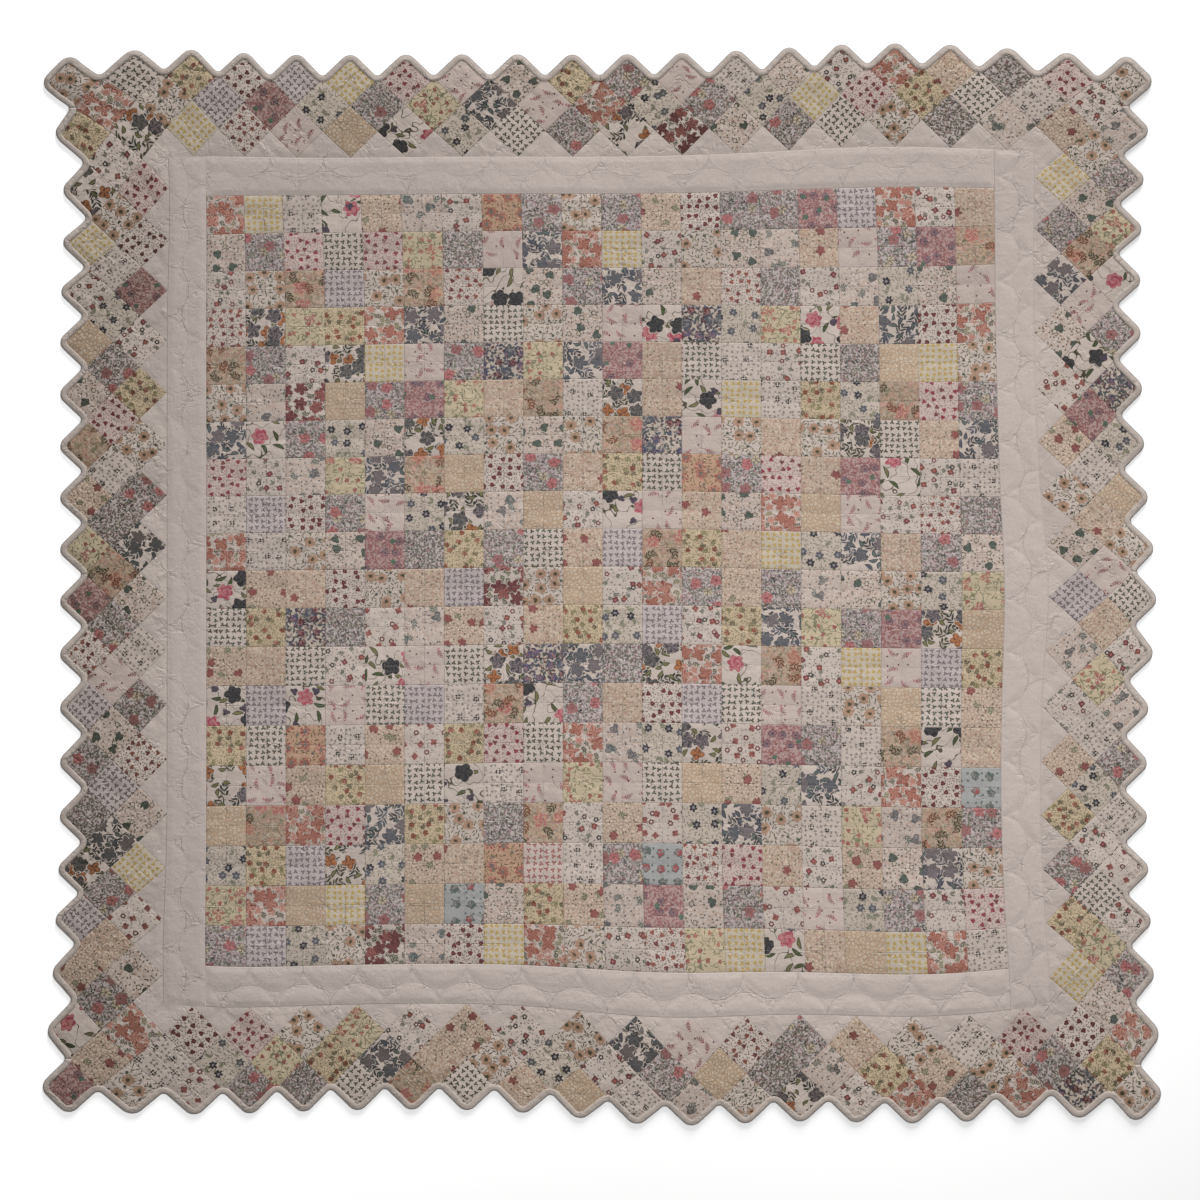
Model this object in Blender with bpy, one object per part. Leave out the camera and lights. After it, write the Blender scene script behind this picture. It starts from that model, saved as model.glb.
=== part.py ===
# A patchwork quilt lying flat: a centre of small square patches, plain strips round it, a border of
# squares set on their points, and a binding that follows the border's zigzag edge.
#
# The plan is drawn in patches, measured right and up from the middle, and then laid out in metres
# with the small pulls that keep a washed quilt from being quite square. +Z is up, the underside is
# the plane z = 0, and the origin is under the middle of the quilt's outline.
import math
import random
from collections import namedtuple

import bmesh
import bpy
from mathutils import Vector, geometry

# Driving sizes in metres.
PATCH_WIDTH = 0.0762
PATCH_HEIGHT = 0.0743
BINDING_WIDTH = 0.0135
BINDING_OVERHANG = 0.003
POINT_RADIUS = 0.018
NOTCH_RADIUS = 0.012
SEAM_GAP = 0.0003

# Heights of the upper side, in metres.
LINE_HEIGHT = 0.0034
PUFF_HEIGHT = 0.0064
SEAM_HEIGHT = 0.0044
RIM_HEIGHT = 0.0030
UNEVEN_HEIGHT = 0.0004

# Counts.
CENTRE_PATCHES = 20
STRIP_PATCHES = 1
BORDER_POINTS = 20
CORNER_SEGMENTS = 2
SEED = 7

# Lines of the plan, in patches from the middle. The border's squares are just large enough for
# their inner points to fill the seam round the plain strips.
CENTRE_EDGE = CENTRE_PATCHES / 2
STRIP_EDGE = CENTRE_EDGE + STRIP_PATCHES
DIAGONAL = 2 * STRIP_EDGE / (BORDER_POINTS - 4)
OUTER_ROW = (BORDER_POINTS - 1) * DIAGONAL / 2
CORNER_CUT = STRIP_EDGE - DIAGONAL / 2

# Shells quilted on the plain strips: how far they reach across a strip.
HANGING_SHELL = 0.63
STANDING_SHELL = 0.53

# The least distance of a raised or sunk point from its piece's edge, in patches.
EDGE_MARGIN = 0.13

CENTRE_COLOUR = (0.56, 0.46, 0.41)
STRIP_COLOUR = (0.60, 0.53, 0.50)
BORDER_COLOUR = (0.50, 0.42, 0.37)
BINDING_COLOUR = (0.47, 0.40, 0.36)
CLOTH_ROUGHNESS = 0.9

# Places where the cloth lies out of square: where the pull is and how far it reaches, in patches,
# and how far it shifts the cloth there, in millimetres.
Pull = namedtuple("Pull", "right up reach shift_right shift_up")
PULLS = (
    Pull(-13.3, 13.2, 1.5, -35, -15),
    Pull(13.3, 13.2, 2, 15, -10),
    Pull(-13.3, -13.2, 2, -35, 0),
    Pull(13.3, -13.2, 2, 20, -25),
    Pull(0, -1, 9, 0, 30),
    Pull(-11, -2, 5, 0, 15),
    Pull(11, -2, 5, 5, 10),
    Pull(-6.5, 12.5, 3.5, -15, -5),
    Pull(0, 12.5, 3.5, -5, -5),
    Pull(7.5, 12.5, 3.5, -15, 20),
    Pull(1.5, -12.5, 3, 15, -35),
    Pull(8, -12.5, 4, 20, -30),
    Pull(-12.5, 10, 2.2, 10, -20),
    Pull(-12.5, -10, 2.2, -15, 20),
    Pull(12.5, 7, 3.5, -10, 20),
    Pull(12.5, -0.5, 2.2, 25, 10),
    Pull(12.5, -11, 3.5, 15, 20),
    Pull(-11.5, 12.5, 2.2, 0, 15),
    Pull(-10.5, -12.5, 3, 5, -10),
)
MILLIMETRE = 0.001

# One side of the quilt: how many quarter turns clockwise from the top it lies.
SIDES = {"top": 0, "right": 1, "bottom": 2, "left": 3}


def turned(point, quarters):
    right, up = point
    for _ in range(quarters):
        right, up = up, -right
    return right, up


def pulled(point):
    right, up = point
    x = right * PATCH_WIDTH
    y = up * PATCH_HEIGHT
    for pull in PULLS:
        far = math.hypot(right - pull.right, up - pull.up) / pull.reach
        near = math.exp(-far * far)
        x += pull.shift_right * MILLIMETRE * near
        y += pull.shift_up * MILLIMETRE * near
    return Vector((x, y))


# The outline.


def zigzag():
    # The border's points and notches, clockwise from the top left, as (corner, is_point).
    corners = []
    for quarters in SIDES.values():
        for step in range(2 * BORDER_POINTS - 1):
            is_point = step % 2 == 0
            along = -OUTER_ROW + step * DIAGONAL / 2
            out = OUTER_ROW + (DIAGONAL / 2 if is_point else 0)
            corners.append((turned((along, out), quarters), is_point))
    return corners


def rounded(corners, point_radius, notch_radius, inset):
    # The zigzag moved inward by the inset, with each corner as a short arc.
    line = []
    for index, (corner, is_point) in enumerate(corners):
        here = Vector(corner)
        before = Vector(corners[index - 1][0])
        after = Vector(corners[(index + 1) % len(corners)][0])
        arriving = (here - before).normalized()
        leaving = (after - here).normalized()
        inward = Vector((arriving.y, -arriving.x)) + Vector((leaving.y, -leaving.x))
        moved = here + inward * inset
        side = 1 if is_point else -1
        radius = point_radius if is_point else notch_radius
        centre = moved + side * radius * inward
        first = -side * radius * Vector((arriving.y, -arriving.x))
        for step in range(CORNER_SEGMENTS + 1):
            angle = -side * (math.pi / 2) * step / CORNER_SEGMENTS
            cosine = math.cos(angle)
            sine = math.sin(angle)
            spoke = Vector((first.x * cosine - first.y * sine, first.x * sine + first.y * cosine))
            line.append(tuple(centre + spoke))
    return line


def edge_lines():
    corners = zigzag()
    wide = BINDING_WIDTH / PATCH_WIDTH
    point = POINT_RADIUS / PATCH_WIDTH
    notch = NOTCH_RADIUS / PATCH_WIDTH
    outer = rounded(corners, point, notch, -BINDING_OVERHANG / PATCH_WIDTH)
    inner = rounded(corners, max(point - wide, point / 8), notch + wide, wide)
    return outer, inner


def span(line, quarters):
    # The stretch of an edge line that belongs to one side. The top and bottom have the corner
    # squares, so they run on to the first notch round each corner.
    stations = CORNER_SEGMENTS + 1
    corners_a_side = 2 * BORDER_POINTS - 1
    start = quarters * corners_a_side
    stop = start + corners_a_side - 1
    if quarters % 2 == 0:
        start -= 2
        stop += 2
    else:
        start += 1
        stop -= 1
    middle = CORNER_SEGMENTS // 2
    places = range(start * stations + middle, stop * stations + middle + 1)
    return [line[place % len(line)] for place in places]


def outline_middle(line):
    laid = [pulled(point) for point in line]
    across = [point.x for point in laid]
    up = [point.y for point in laid]
    return Vector(((min(across) + max(across)) / 2, (min(up) + max(up)) / 2))


# Seams, as lists of plan points.


def seam_steps(start, stop):
    # Half patches, and the two places where the border's corners are joined.
    steps = {start, stop}
    for half in range(-2 * int(STRIP_EDGE), 2 * int(STRIP_EDGE) + 1):
        steps.add(half / 2)
    steps.add(CORNER_CUT)
    steps.add(-CORNER_CUT)
    low = min(start, stop)
    high = max(start, stop)
    kept = sorted(step for step in steps if low <= step <= high)
    return kept if start < stop else kept[::-1]


def level_seam(start, stop, up):
    return [(step, up) for step in seam_steps(start, stop)]


def upright_seam(start, stop, right):
    return [(right, step) for step in seam_steps(start, stop)]


def box_outline(left, right, low, high):
    loop = level_seam(left, right, high)[:-1]
    loop += upright_seam(high, low, right)[:-1]
    loop += level_seam(right, left, low)[:-1]
    loop += upright_seam(low, high, left)[:-1]
    return loop


# Relief, as a height above the floor for each plan point.


def wave(place):
    return math.sin(math.pi * place) ** 2


def centre_height(point):
    right, up = point
    puff = (1 - wave(right)) * (1 - wave(up))
    return LINE_HEIGHT + (PUFF_HEIGHT - LINE_HEIGHT) * puff


def border_lattice(point):
    # Places along the two diagonals, in squares, with whole numbers at the squares' middles.
    right = point[0] + OUTER_ROW
    up = point[1] - OUTER_ROW
    return (right + up) / DIAGONAL, (right - up) / DIAGONAL


def border_height(point):
    rising, falling = border_lattice(point)
    puff = wave(rising) * wave(falling)
    return LINE_HEIGHT + (PUFF_HEIGHT - LINE_HEIGHT) * puff


def is_inside(point, loop):
    inside = False
    before = loop[-1]
    for after in loop:
        if (before[1] > point[1]) != (after[1] > point[1]):
            crossing = before[0] + (point[1] - before[1]) * (after[0] - before[0]) / (after[1] - before[1])
            if point[0] < crossing:
                inside = not inside
        before = after
    return inside


def clear_of_edge(point, loop):
    if not is_inside(point, loop):
        return False
    here = Vector(point)
    before = Vector(loop[-1])
    for corner in loop:
        after = Vector(corner)
        near, share = geometry.intersect_point_line(here, before, after)
        near = before.lerp(after, min(1.0, max(0.0, share)))
        if (near - here).length < EDGE_MARGIN:
            return False
        before = after
    return True


def centre_relief():
    points = {}
    folds = []
    for column in range(CENTRE_PATCHES):
        for row in range(CENTRE_PATCHES):
            middle = (column - CENTRE_EDGE + 0.5, row - CENTRE_EDGE + 0.5)
            points[middle] = centre_height(middle)
            for step_right in (-0.5, 0, 0.5):
                for step_up in (-0.5, 0, 0.5):
                    near = (middle[0] + step_right, middle[1] + step_up)
                    if max(abs(near[0]), abs(near[1])) < CENTRE_EDGE:
                        points[near] = centre_height(near)
                        if step_right and step_up:
                            folds.append((middle, near))
    return points, folds


def border_relief(loop):
    points = {}
    folds = []
    steps = 2 * BORDER_POINTS
    places = {}
    for across in range(-1, 2 * steps):
        for down in range(-1, 2 * steps):
            point = (-OUTER_ROW + across * DIAGONAL / 4, OUTER_ROW - down * DIAGONAL / 4)
            if (across + down) % 2 == 0 and clear_of_edge(point, loop):
                places[across, down] = point
                points[point] = border_height(point)
    for (across, down), point in places.items():
        if across % 2 == 0 and (across + down) % 4 == 0:
            for step in ((2, 0), (-2, 0), (0, 2), (0, -2)):
                near = places.get((across + step[0], down + step[1]))
                if near:
                    folds.append((point, near))
    return points, folds


def strip_relief(loop, quarters):
    # Two rows of shells: one hangs from the centre, one stands on the border's seam between them.
    lined = LINE_HEIGHT
    puffed = PUFF_HEIGHT
    half = (LINE_HEIGHT + PUFF_HEIGHT) / 2
    # A shell is a half circle stretched across the strip: halfway to its tip it is this deep.
    shoulder = HANGING_SHELL * math.sqrt(1 - 0.5 ** 2)
    column_kinds = (
        ((HANGING_SHELL / 2, puffed), (HANGING_SHELL, lined), ((1 + HANGING_SHELL) / 2, half)),
        ((shoulder, lined),),
        (((1 - STANDING_SHELL) / 2, half), (1 - STANDING_SHELL, lined), (1 - STANDING_SHELL / 2, puffed)),
        ((shoulder, lined),),
    )
    points = {}
    for step in range(-2 * BORDER_POINTS, 2 * BORDER_POINTS + 1):
        for out, height in column_kinds[step % len(column_kinds)]:
            point = turned((step * DIAGONAL / 4, CENTRE_EDGE + out * STRIP_PATCHES), quarters)
            if clear_of_edge(point, loop):
                points[point] = height
    return points, []


# Solids.


def drawn_in(loop, distance):
    # The loop's points moved to its inner side. The loops run clockwise.
    moved = []
    for index, here in enumerate(loop):
        before = loop[index - 1]
        after = loop[(index + 1) % len(loop)]
        arriving = (here - before).normalized()
        leaving = (after - here).normalized()
        first = Vector((arriving.y, -arriving.x))
        second = Vector((leaving.y, -leaving.x))
        moved.append(here + distance * (first + second) / (1 + first.dot(second)))
    return moved


def cloth(colour, name):
    material = bpy.data.materials.new(name)
    material.use_nodes = True
    shader = material.node_tree.nodes["Principled BSDF"]
    shader.inputs["Base Color"].default_value = (*colour, 1)
    shader.inputs["Roughness"].default_value = CLOTH_ROUGHNESS
    shader.inputs["Metallic"].default_value = 0
    material.diffuse_color = (*colour, 1)
    return material


def add_piece(name, loop, edge_heights, relief, colour, parent, middle, chance):
    # A closed solid: the loop's upper side with its relief, upright edges and a flat underside.
    points, folds = relief
    flat = drawn_in([pulled(point) - middle for point in loop], SEAM_GAP / 2)
    order = {point: len(flat) + index for index, point in enumerate(points)}
    heights = list(edge_heights)
    for height in points.values():
        heights.append(height + UNEVEN_HEIGHT * chance.uniform(-1, 1))
    flat += [pulled(point) - middle for point in points]
    edges = [(order[first], order[second]) for first, second in folds]
    cut = geometry.delaunay_2d_cdt(flat, edges, [list(range(len(loop)))], 1, 1e-7)
    corners, _, faces, sources = cut[:4]

    across = [point.x for point in flat]
    up = [point.y for point in flat]
    home = Vector(((min(across) + max(across)) / 2, (min(up) + max(up)) / 2, 0))
    mesh = bpy.data.meshes.new(name)
    bm = bmesh.new()
    tops = []
    for corner, source in zip(corners, sources):
        tops.append(bm.verts.new(Vector((corner.x, corner.y, heights[source[0]])) - home))
    for face in faces:
        bm.faces.new([tops[index] for index in face])
    rim = [edge for edge in bm.edges if edge.is_boundary]
    wall = bmesh.ops.extrude_edge_only(bm, edges=rim)["geom"]
    for item in wall:
        if isinstance(item, bmesh.types.BMVert):
            item.co.z = 0
    foot = [item for item in wall if isinstance(item, bmesh.types.BMEdge) and item.is_boundary]
    bmesh.ops.contextual_create(bm, geom=foot)
    bmesh.ops.recalc_face_normals(bm, faces=bm.faces)
    bm.to_mesh(mesh)
    bm.free()
    mesh.shade_smooth()
    mesh.set_sharp_from_angle(angle=math.radians(40))
    mesh.materials.append(cloth(colour, name))
    piece = bpy.data.objects.new(name, mesh)
    piece.location = home
    piece.parent = parent
    bpy.context.scene.collection.objects.link(piece)


def level_edge(loop):
    return [SEAM_HEIGHT] * len(loop)


def border_outline(inner, quarters):
    loop = span(inner, quarters)
    if quarters % 2 == 0:
        seam = [(STRIP_EDGE, step) for step in seam_steps(CORNER_CUT, STRIP_EDGE)[:-1]]
        seam += level_seam(STRIP_EDGE, -STRIP_EDGE, STRIP_EDGE)[:-1]
        seam += [(-STRIP_EDGE, step) for step in seam_steps(STRIP_EDGE, CORNER_CUT)]
        return loop + [turned(point, quarters) for point in seam]
    seam = level_seam(CORNER_CUT, -CORNER_CUT, STRIP_EDGE)
    return loop + [turned(point, quarters) for point in seam]


def add_quilt():
    chance = random.Random(SEED)
    outer, inner = edge_lines()
    middle = outline_middle(outer)
    quilt = bpy.data.objects.new("quilt", None)
    bpy.context.scene.collection.objects.link(quilt)

    loop = box_outline(-CENTRE_EDGE, CENTRE_EDGE, -CENTRE_EDGE, CENTRE_EDGE)
    relief = centre_relief()
    add_piece("centre_panel", loop, level_edge(loop), relief, CENTRE_COLOUR, quilt, middle, chance)

    strip_boxes = {
        "top": (-CENTRE_EDGE, CENTRE_EDGE, CENTRE_EDGE, STRIP_EDGE),
        "right": (CENTRE_EDGE, STRIP_EDGE, -STRIP_EDGE, STRIP_EDGE),
        "bottom": (-CENTRE_EDGE, CENTRE_EDGE, -STRIP_EDGE, -CENTRE_EDGE),
        "left": (-STRIP_EDGE, -CENTRE_EDGE, -STRIP_EDGE, STRIP_EDGE),
    }
    for side, quarters in SIDES.items():
        loop = box_outline(*strip_boxes[side])
        relief = strip_relief(loop, quarters)
        name = "strip_" + side
        add_piece(name, loop, level_edge(loop), relief, STRIP_COLOUR, quilt, middle, chance)

        loop = border_outline(inner, quarters)
        relief = border_relief(loop)
        name = "border_" + side
        add_piece(name, loop, level_edge(loop), relief, BORDER_COLOUR, quilt, middle, chance)

        rim = span(outer, quarters)
        seam = span(inner, quarters)[::-1]
        heights = [RIM_HEIGHT] * len(rim) + [SEAM_HEIGHT] * len(seam)
        name = "binding_" + side
        add_piece(name, rim + seam, heights, ({}, []), BINDING_COLOUR, quilt, middle, chance)


for leftover in list(bpy.data.objects):
    bpy.data.objects.remove(leftover, do_unlink=True)
add_quilt()
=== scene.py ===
import math
import random
from collections import namedtuple

import bmesh
import bpy
from mathutils import Matrix, Vector, noise


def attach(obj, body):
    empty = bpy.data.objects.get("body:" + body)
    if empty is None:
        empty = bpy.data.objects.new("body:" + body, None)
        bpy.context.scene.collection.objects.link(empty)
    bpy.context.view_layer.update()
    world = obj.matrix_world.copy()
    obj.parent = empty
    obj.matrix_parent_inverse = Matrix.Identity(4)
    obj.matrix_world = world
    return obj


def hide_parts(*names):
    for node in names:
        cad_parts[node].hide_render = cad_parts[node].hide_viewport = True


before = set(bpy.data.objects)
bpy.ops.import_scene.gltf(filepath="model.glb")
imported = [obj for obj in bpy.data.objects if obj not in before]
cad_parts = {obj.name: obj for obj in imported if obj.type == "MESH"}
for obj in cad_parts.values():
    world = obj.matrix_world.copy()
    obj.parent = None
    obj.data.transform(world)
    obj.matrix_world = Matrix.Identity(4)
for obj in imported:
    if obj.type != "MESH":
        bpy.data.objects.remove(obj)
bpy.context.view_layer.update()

chance = random.Random(11)
scene = bpy.context.scene

# The plan is in patches, right and up from the middle, as in the solids.
plan = {
    "patchWidth": 0.0762,
    "patchHeight": 0.0743,
    "patches": 20,
    "borderPoints": 20,
    "bindingOverhang": 0.003,
    "pointRadius": 0.018,
    "notchRadius": 0.012,
    "arcSteps": 6,
    "edgeSteps": 8,
}
centreEdge = plan["patches"] / 2
stripEdge = centreEdge + 1
diagonal = 2 * stripEdge / (plan["borderPoints"] - 4)
outerRow = (plan["borderPoints"] - 1) * diagonal / 2
near = 0.01  # places closer than this in the plan are the same place
sides = {"top": 0, "right": 1, "bottom": 2, "left": 3}  # quarter turns clockwise from the top

# Where the cloth lies out of square: place and reach in patches, shift in millimetres.
Pull = namedtuple("Pull", "right up reach shiftRight shiftUp")
pulls = (
    Pull(-13.3, 13.2, 1.5, -35, -15),
    Pull(13.3, 13.2, 2, 15, -10),
    Pull(-13.3, -13.2, 2, -35, 0),
    Pull(13.3, -13.2, 2, 20, -25),
    Pull(0, -1, 9, 0, 30),
    Pull(-11, -2, 5, 0, 15),
    Pull(11, -2, 5, 5, 10),
    Pull(-6.5, 12.5, 3.5, -15, -5),
    Pull(0, 12.5, 3.5, -5, -5),
    Pull(7.5, 12.5, 3.5, -15, 20),
    Pull(1.5, -12.5, 3, 15, -35),
    Pull(8, -12.5, 4, 20, -30),
    Pull(-12.5, 10, 2.2, 10, -20),
    Pull(-12.5, -10, 2.2, -15, 20),
    Pull(12.5, 7, 3.5, -10, 20),
    Pull(12.5, -0.5, 2.2, 25, 10),
    Pull(12.5, -11, 3.5, 15, 20),
    Pull(-11.5, 12.5, 2.2, 0, 15),
    Pull(-10.5, -12.5, 3, 5, -10),
)


def turned(point, quarters):
    right, up = point
    for _ in range(quarters):
        right, up = up, -right
    return right, up


def pulled(point):
    right, up = point
    x = right * plan["patchWidth"]
    y = up * plan["patchHeight"]
    for pull in pulls:
        far = math.hypot(right - pull.right, up - pull.up) / pull.reach
        share = math.exp(-far * far) / 1000
        x += pull.shiftRight * share
        y += pull.shiftUp * share
    return Vector((x, y))


def zigzag():
    # The border's points and notches, clockwise from the top left.
    corners = []
    for quarters in sides.values():
        for step in range(2 * plan["borderPoints"] - 1):
            isPoint = step % 2 == 0
            out = outerRow + (diagonal / 2 if isPoint else 0)
            corners.append((turned((-outerRow + step * diagonal / 2, out), quarters), isPoint))
    return corners


def edgeLine(inset):
    # The zigzag moved inward by the inset in metres: an arc at each corner, then a straight stretch.
    wide = inset / plan["patchWidth"]
    pointRadius = plan["pointRadius"] / plan["patchWidth"]
    notchRadius = plan["notchRadius"] / plan["patchWidth"]
    corners = zigzag()
    arcs = []
    for index, (corner, isPoint) in enumerate(corners):
        here = Vector(corner)
        arriving = (here - Vector(corners[index - 1][0])).normalized()
        leaving = (Vector(corners[(index + 1) % len(corners)][0]) - here).normalized()
        inward = Vector((arriving.y, -arriving.x)) + Vector((leaving.y, -leaving.x))
        side = 1 if isPoint else -1
        radius = max(pointRadius - wide, near) if isPoint else notchRadius + wide
        middle = here + inward * (wide + side * radius)
        first = -side * radius * Vector((arriving.y, -arriving.x))
        arc = []
        for step in range(plan["arcSteps"] + 1):
            angle = -side * (math.pi / 2) * step / plan["arcSteps"]
            arc.append(middle + Matrix.Rotation(angle, 2) @ first)
        arcs.append(arc)
    line = []
    for index, arc in enumerate(arcs):
        line += arc
        after = arcs[(index + 1) % len(arcs)][0]
        for step in range(1, plan["edgeSteps"]):
            line.append(arc[-1].lerp(after, step / plan["edgeSteps"]))
    return line


outline = [pulled(point) for point in edgeLine(-plan["bindingOverhang"])]
acrossOutline = [point.x for point in outline]
upOutline = [point.y for point in outline]
quiltMiddle = Vector(((min(acrossOutline) + max(acrossOutline)) / 2, (min(upOutline) + max(upOutline)) / 2))
print("plan laid out:", len(outline), "stations round the edge")


# How the layers rise: heights in metres above the floor, widths in patches.
quilting = {
    "line": 0.0040,
    "puff": 0.0061,
    "seam": 0.0045,
    "foot": 0.0004,
    "underBinding": 0.0036,
    "bindingEnd": 0.10,
    "clearOfBinding": 0.32,
    "fullness": 0.6,
    "slackest": 0.15,
    "seamReach": 0.16,
    "seamDip": 0.0006,
    "seamWidth": 0.05,
    "hangingShell": 0.63,
    "standingShell": 0.53,
    "shellReach": 0.13,
    "shellTop": 0.85,
    "shellRise": {"top": 0.22, "right": 0.70, "bottom": 0.75, "left": 0.40},
    "waver": 0.0007,
}


def pillow(place):
    # 1 between two quilted lines and 0 on them, which are halfway between whole numbers.
    return abs(math.cos(math.pi * place)) ** quilting["fullness"]


def rise(share):
    return quilting["line"] + (quilting["puff"] - quilting["line"]) * share


def eased(value, low, high):
    share = min(1.0, max(0.0, (value - low) / (high - low)))
    return share * share * (3 - 2 * share)


def unevenness(point, closeness, layer):
    right, up = point
    return noise.noise(Vector((right * closeness, up * closeness, layer)))


def stitchPull(point):
    # The lines are drawn down hard in some places and hardly at all in others.
    pull = eased(unevenness(point, 0.8, 15), -0.45, 0.35)
    return quilting["slackest"] + (1 - quilting["slackest"]) * pull


def waver(point):
    return quilting["waver"] * (unevenness(point, 0.9, 3) + 0.6 * unevenness(point, 2.7, 8))


def fromSeam(height, distance):
    return quilting["seam"] + (height - quilting["seam"]) * eased(distance, 0, quilting["seamReach"])


def edgeDistance(point):
    # How far a place is inside the zigzag.
    distances = []
    for along, out in ((point[0], abs(point[1])), (point[1], abs(point[0]))):
        place = min(abs(along), outerRow)
        fromMiddle = abs(place / diagonal % 1 - 0.5) * diagonal + abs(along) - place
        distances.append((diagonal / 2 - fromMiddle - (out - outerRow)) / math.sqrt(2))
    return min(distances)


def seamDip(place):
    away = (place - round(place)) / quilting["seamWidth"]
    return quilting["seamDip"] * math.exp(-away * away)


def centreHeight(point):
    right, up = point
    share = 1 - (1 - pillow(right) * pillow(up)) * stitchPull(point)
    height = rise(share) - seamDip(right) - seamDip(up) + waver(point)
    return fromSeam(height, centreEdge - max(abs(right), abs(up)))


def borderHeight(point):
    right = point[0] + outerRow
    up = point[1] - outerRow
    rising = (right + up) / diagonal
    falling = (right - up) / diagonal
    share = 1 - (1 - pillow(rising + 0.5) * pillow(falling + 0.5)) * stitchPull(point)
    height = rise(share) - seamDip(rising + 0.5) - seamDip(falling + 0.5) + waver(point)
    height = fromSeam(height, max(abs(point[0]), abs(point[1])) - stripEdge)
    clear = eased(edgeDistance(point), quilting["bindingEnd"], quilting["clearOfBinding"])
    return quilting["underBinding"] + (height - quilting["underBinding"]) * clear


def shellDistance(along, across):
    # How far a place on a strip is from the nearest shell's line. Across runs from the centre outward.
    step = along / diagonal
    hang = 2 * (step - round(step))
    stand = 2 * (step - 0.5 - round(step - 0.5))
    hanging = quilting["hangingShell"] * math.sqrt(max(0.0, 1 - hang * hang))
    standing = 1 - quilting["standingShell"] * math.sqrt(max(0.0, 1 - stand * stand))
    return min(abs(across - hanging), abs(across - standing))


def stripHeight(point, side, along, across, end):
    drawn = math.exp(-(shellDistance(along, across) / quilting["shellReach"]) ** 2)
    height = rise(quilting["shellTop"] - drawn * quilting["shellRise"][side]) + waver(point)
    return fromSeam(height, min(across, 1 - across, end - abs(along)))


# Shader sums are written as Python expressions on wires.
def sumFrom(operation):
    return lambda wire, *others: wire.recipe.sum(operation, wire, *others)


def sumTo(operation):
    return lambda wire, other: wire.recipe.sum(operation, other, wire)


class Wire:
    def __init__(self, recipe, socket):
        self.recipe = recipe
        self.socket = socket

    def maths(self, operation, *others):
        return self.recipe.sum(operation, self, *others)

    __add__ = sumFrom("ADD")
    __sub__ = sumFrom("SUBTRACT")
    __mul__ = sumFrom("MULTIPLY")
    __truediv__ = sumFrom("DIVIDE")
    __pow__ = sumFrom("POWER")
    __abs__ = sumFrom("ABSOLUTE")
    __radd__ = sumTo("ADD")
    __rsub__ = sumTo("SUBTRACT")
    __rmul__ = sumTo("MULTIPLY")


Motif = namedtuple("Motif", "x y far angle first second")


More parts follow.
